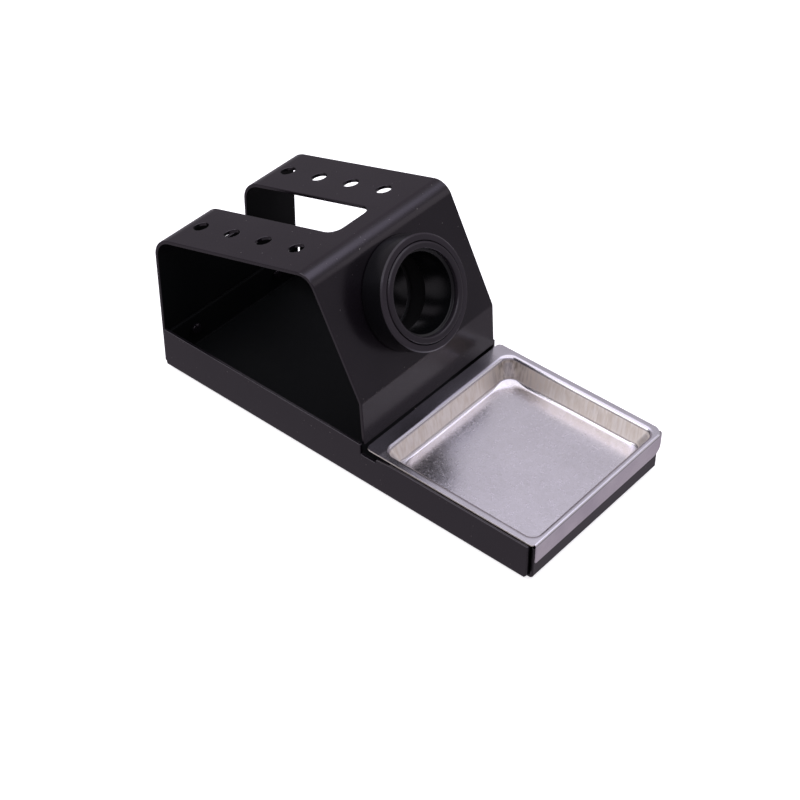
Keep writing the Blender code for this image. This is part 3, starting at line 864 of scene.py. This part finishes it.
def from_collar_axis(made):
    """How far a point is from the collar's axis."""
    placement = holder_placement()
    away = made.add("VectorMath", {"operation": "SUBTRACT"})
    made.set(away, "0", made.place())
    made.set(away, "1", placement.translation)
    across = made.add("VectorMath", {"operation": "CROSS_PRODUCT"})
    made.set(across, "0", away.outputs[0])
    made.set(across, "1", placement.to_3x3() @ Vector((0, 0, 1)))
    distance = made.add("VectorMath", {"operation": "LENGTH"})
    made.set(distance, "0", across.outputs[0])
    return distance.outputs["Value"]


def black_turned():
    """Black with faint turning marks: polished on the side, greyer where the end is rubbed by handling."""
    made = Nodes("black_turned_finish")
    cloud = made.noise(60, 2.0)
    end = made.spread(along_collar(made), 0.0, 1.0, HOLDER_PROUD - 0.8 * MM, HOLDER_PROUD - 0.4 * MM)
    side_tone = made.blend(cloud, (0.0030, 0.0032, 0.0038, 1), (0.0045, 0.0045, 0.0055, 1))
    end_tone = made.blend(cloud, (0.028, 0.024, 0.029, 1), (0.037, 0.031, 0.038, 1))
    made.shader.inputs["Specular IOR Level"].default_value = 0.35
    return made.finish(
        Base_Color=made.blend(end, side_tone, end_tone),
        Roughness=made.spread(cloud, 0.20, 0.28),
        Normal=made.bump(made.noise(2600, 1.0), 0.15, 0.02 * MM),
    )


def black_resin():
    """Glossy black resin: greyer on the rubbed bead; rough and painted darker, as painted shade, in the
    bore's groove.
    """
    made = Nodes("glossy_black_resin")
    cloud = made.noise(80, 2.0)
    along = along_collar(made)
    end = made.spread(along, 0.0, 1.0, HOLDER_PROUD - 2.0 * MM, HOLDER_PROUD - 0.5 * MM)
    above = made.spread(along, 0, 1, GROOVE_FOOT - GROOVE_SLOPE, GROOVE_FOOT)
    below = made.spread(along, 1, 0, GROOVE_TOP, GROOVE_TOP + GROOVE_SLOPE)
    inside = made.spread(from_collar_axis(made), 1, 0, GROOVE_RADIUS + 0.2 * MM, GROOVE_RADIUS + 0.6 * MM)
    # The groove is painted darker as painted shade, and made rougher.
    dull_groove_painted_shade = made.maths("MULTIPLY", made.maths("MULTIPLY", above, below), inside)
    tone = made.blend(end, (0.003, 0.0035, 0.004, 1), (0.024, 0.020, 0.025, 1))
    rough = made.maths("ADD", made.spread(cloud, 0.20, 0.30), made.maths("MULTIPLY", dull_groove_painted_shade, 0.6))
    made.shader.inputs["Specular IOR Level"].default_value = 0.4
    return made.finish(
        Base_Color=made.blend(dull_groove_painted_shade, tone, (0.001, 0.001, 0.0012, 1)),
        Roughness=rough,
        Normal=made.bump(made.noise(900, 2.0), 0.10, 0.03 * MM),
    )


def rubber():
    """Matt black rubber, faintly uneven."""
    made = Nodes("black_rubber_pad")
    cloud = made.noise(700, 3.0)
    return made.finish(
        Base_Color=made.blend(cloud, (0.014, 0.014, 0.014, 1), (0.028, 0.028, 0.027, 1)),
        Roughness=made.spread(cloud, 0.72, 0.88),
        Normal=made.bump(cloud, 0.4, 0.06 * MM),
    )


LIP_TO_WALL = (-96.2 * MM, -95.6 * MM)  # Y, where the lip ends and the walls begin
REAR_RIM_START = (-22.4 * MM, -21.4 * MM)  # Y, where the rim behind the pan begins
SHELL_REFLECTION_END = (26.0 * MM, 36.0 * MM)  # X, over which the painted reflection of the black shell on the rear rim fades out
CORNER_REFLECTION_X = (20.0 * MM, 35.0 * MM)  # X, over which the painted dark reflection in the rear right corner starts
CORNER_REFLECTION_Y = (-45.0 * MM, -26.0 * MM)


def tray_steel():
    """Bright drawn sheet: a mottled floor, walls with fine drawing lines, and painted dark reflections on
    the rear rim and in the walls' rear right corner.
    """
    made = Nodes("bright_tray_sheet")
    geometry = made.add("NewGeometry")
    facing = made.add("SeparateXYZ", None, Vector=geometry.outputs["Normal"])
    level = made.maths("ABSOLUTE", facing.outputs["Z"])
    position = made.add("SeparateXYZ", None, Vector=made.place())
    height = position.outputs["Z"]
    on_floor = made.spread(height, 1.0, 0.0, TRAY_FLOOR + 0.3 * MM, TRAY_FLOOR + 1.2 * MM)
    upright_part = made.spread(level, 1.0, 0.0, 0.25, 0.6)
    within = made.spread(position.outputs["Y"], 0.0, 1.0, *LIP_TO_WALL)
    wall = made.maths("MULTIPLY", upright_part, within)
    lip = made.maths("SUBTRACT", upright_part, wall)
    spangle = made.add("TexNoise", None, Vector=made.place(), Scale=620.0, Detail=3.0, Roughness=0.6)
    made.set(spangle, "Distortion", 1.2)
    mottle = spangle.outputs["Fac"]
    cloud = made.noise(60, 3.0)
    lines = made.noise(900, 2.0, 0.5, (1, 1, 0.04))
    tone = made.blend(cloud, (0.61, 0.595, 0.62, 1), (0.73, 0.71, 0.735, 1))
    floor_tone = made.blend(cloud, (0.73, 0.71, 0.735, 1), (0.88, 0.855, 0.885, 1))
    tone = made.blend(on_floor, tone, floor_tone)
    # Painted reflection: the rim behind the pan is darkened where the black shell would reflect in it.
    on_rim = made.spread(height, 0.0, 0.75, RIM_TOP - 0.4 * MM, RIM_TOP - 0.1 * MM)
    behind = made.spread(position.outputs["Y"], 0.0, 1.0, *REAR_RIM_START)
    painted_shell_reflection = made.maths("MULTIPLY", behind, made.spread(position.outputs["X"], 1.0, 0.0, *SHELL_REFLECTION_END))
    tone = made.blend(made.maths("MULTIPLY", on_rim, painted_shell_reflection), tone, (0.16, 0.15, 0.17, 1))
    drawn = made.blend(made.spread(lines, 0, 1, 0.38, 0.62), (0.86, 0.78, 0.66, 1), (1.0, 0.95, 0.86, 1))
    # Painted reflection: walls in the rear right corner are painted darker brown, streaked along the
    # drawing lines.
    corner = made.maths(
        "MULTIPLY",
        made.spread(position.outputs["X"], 0.0, 1.0, *CORNER_REFLECTION_X),
        made.spread(position.outputs["Y"], 0.0, 1.0, *CORNER_REFLECTION_Y),
    )
    painted_corner_reflection = made.maths("MULTIPLY", corner, made.spread(lines, 0.4, 1.0, 0.4, 0.6))
    drawn = made.blend(painted_corner_reflection, drawn, (0.30, 0.26, 0.21, 1))
    tone = made.blend(made.maths("MULTIPLY", wall, 0.9), tone, drawn)
    lip_tone = made.blend(made.spread(cloud, 0, 1, 0.35, 0.65), (0.84, 0.79, 0.86, 1), (1.0, 0.95, 1.0, 1))
    tone = made.blend(lip, tone, lip_tone)
    specks = made.maths("MULTIPLY", on_floor, made.spread(mottle, 0, 0.4, 0.3, 0.7))
    tone = made.blend(specks, tone, (0.66, 0.63, 0.66, 1))
    base_rough = made.spread(cloud, 0.20, 0.30)
    floor_rough = made.spread(mottle, 0.17, 0.29, 0.3, 0.7)
    rough = made.add("Mix", {"data_type": "FLOAT"})
    for key, value in ((0, on_floor), (2, base_rough), (3, floor_rough)):
        made.tree.links.new(value, rough.inputs[key])
    grain = made.maths("MULTIPLY", lines, made.maths("MULTIPLY", wall, 2.6))
    relief = made.maths("ADD", made.maths("MULTIPLY", mottle, on_floor), grain)
    return made.finish(
        Base_Color=tone,
        Metallic=made.spread(wall, 1.0, 0.35),
        Roughness=rough.outputs[0],
        Normal=made.bump(relief, 0.28, 0.06 * MM),
    )


# ---------------------------------------------------------------- studio

# Elevation in degrees, with the studio's brightness there and how green and blue it is beside its red.
# The first two rows are the two ends.
SKY = [
    (-90, 0.21, 0.89, 1.03),
    (90, 0.9, 0.96, 1.03),
    (-8, 0.25, 0.92, 1.03),
    (0, 0.18, 0.97, 1.06),
    (12, 0.18, 0.90, 1.03),
    (22, 0.20, 0.87, 1.02),
    (32, 0.22, 0.88, 1.03),
    (40, 0.30, 0.96, 1.03),
    (46, 0.36, 0.96, 1.05),
    (50, 0.5, 0.96, 1.15),
    (53, 1.2, 0.97, 1.22),
    (57, 1.2, 0.97, 1.15),
    (62, 0.9, 0.96, 1.03),
]
SKY_STRENGTH = 1.5
STUDIO_FLOOR_HALF_WIDTH = 4.0  # metres
STUDIO_FLOOR_GLOW = 0.75
SOFTBOX_DISTANCE = 1.2  # metres

CAMERA_AZIMUTH = -49.82  # degrees from straight ahead
CAMERA_ELEVATION = 41.47  # degrees over the table
CAMERA_ROLL = 0.32  # degrees
CAMERA_DISTANCE = 800.59  # millimetres
CAMERA_TARGET = Vector((4.79 * MM, 6.03 * MM, FLOOR_Z))
CAMERA_LENS = 88.11  # focal length, in millimetres


def make_floor():
    """A bright table that only the camera sees: reflections and bounced light come from the world."""
    mesh = bpy.data.meshes.new("studio_floor")
    builder = bmesh.new()
    bmesh.ops.create_grid(builder, x_segments=1, y_segments=1, size=STUDIO_FLOOR_HALF_WIDTH)
    builder.to_mesh(mesh)
    builder.free()
    floor = bpy.data.objects.new("studio_floor", mesh)
    bpy.context.scene.collection.objects.link(floor)
    made = Nodes("studio_floor")
    made.finish(Base_Color=grey(0.85), Roughness=0.9)
    made.shader.inputs["Emission Color"].default_value = grey(1.0)
    made.shader.inputs["Emission Strength"].default_value = STUDIO_FLOOR_GLOW
    mesh.materials.append(made.material)
    floor.visible_glossy = False
    floor.visible_diffuse = False


def make_world():
    """A plain studio: bright overhead, dimmer towards the horizon, grey below, and white to the camera."""
    world = bpy.data.worlds.new("studio")
    bpy.context.scene.world = world
    world.use_nodes = True
    tree = world.node_tree
    nodes, links = tree.nodes, tree.links
    background = nodes["Background"]
    coordinates = nodes.new("ShaderNodeTexCoord")
    split = nodes.new("ShaderNodeSeparateXYZ")
    links.new(coordinates.outputs["Generated"], split.inputs[0])
    ramp = nodes.new("ShaderNodeValToRGB")
    remap = nodes.new("ShaderNodeMapRange")
    remap.inputs["From Min"].default_value = -1.0
    links.new(split.outputs["Z"], remap.inputs["Value"])
    links.new(remap.outputs["Result"], ramp.inputs["Fac"])
    stops = ramp.color_ramp.elements
    for index, (elevation, level, green, blue) in enumerate(SKY):
        position = (math.sin(math.radians(elevation)) + 1) / 2
        stop = stops[index] if index < 2 else stops.new(position)
        stop.position = position
        stop.color = (level, level * green, level * blue, 1)
    links.new(ramp.outputs["Color"], background.inputs["Color"])
    background.inputs["Strength"].default_value = SKY_STRENGTH
    backdrop = nodes.new("ShaderNodeBackground")
    backdrop.inputs["Color"].default_value = grey(1.0)
    seen = nodes.new("ShaderNodeLightPath")
    either = nodes.new("ShaderNodeMixShader")
    links.new(seen.outputs["Is Camera Ray"], either.inputs[0])
    links.new(background.outputs[0], either.inputs[1])
    links.new(backdrop.outputs[0], either.inputs[2])
    links.new(either.outputs[0], nodes["World Output"].inputs["Surface"])


def direction(azimuth, elevation):
    """Outwards from the stand: azimuth from straight ahead and elevation over the table, in degrees."""
    azimuth, elevation = math.radians(azimuth), math.radians(elevation)
    level = math.cos(elevation)
    return Vector((math.sin(azimuth) * level, -math.cos(azimuth) * level, math.sin(elevation)))


def make_softbox(name, azimuth, elevation, power, size):
    """A round softbox that faces the stand from that direction, and that the camera doesn't see."""
    lamp = bpy.data.lights.new(name, "AREA")
    lamp.shape = "DISK"
    lamp.size = size
    lamp.energy = power
    holder = bpy.data.objects.new(name, lamp)
    bpy.context.scene.collection.objects.link(holder)
    holder.location = SOFTBOX_DISTANCE * direction(azimuth, elevation)
    holder.rotation_euler = (-holder.location).to_track_quat("-Z", "Y").to_euler()
    holder.visible_camera = False


def make_camera():
    """A camera that looks down at the table near the stand's middle."""
    back = direction(CAMERA_AZIMUTH, CAMERA_ELEVATION)
    camera = bpy.data.cameras.new("camera")
    camera.sensor_width = 36.0
    camera.lens = CAMERA_LENS
    camera.clip_start = 0.01
    camera.clip_end = 20.0
    holder = bpy.data.objects.new("camera", camera)
    bpy.context.scene.collection.objects.link(holder)
    place = Matrix.Translation(CAMERA_TARGET + back * CAMERA_DISTANCE * MM)
    turn = (-back).to_track_quat("-Z", "Y").to_matrix().to_4x4()
    holder.matrix_world = place @ turn @ Matrix.Rotation(math.radians(CAMERA_ROLL), 4, "Z")
    bpy.context.scene.camera = holder


coat = powder_coat()
# The inside coat is painted shade: darker and duller than the outside coat.
painted_shade_coat = inside_shade_coat()
make_base(coat, painted_shade_coat)
make_shell(coat, painted_shade_coat)
make_holder(black_turned(), black_resin())
make_tray(tray_steel())
make_feet(rubber())
make_rivets(coat)
make_floor()
make_world()
make_softbox("softbox_front_right", azimuth=50, elevation=27, power=0.35, size=0.55)
make_softbox("softbox_rear_left", azimuth=-128, elevation=40, power=2.5, size=0.7)
make_camera()
bpy.context.scene.view_settings.view_transform = "Standard"
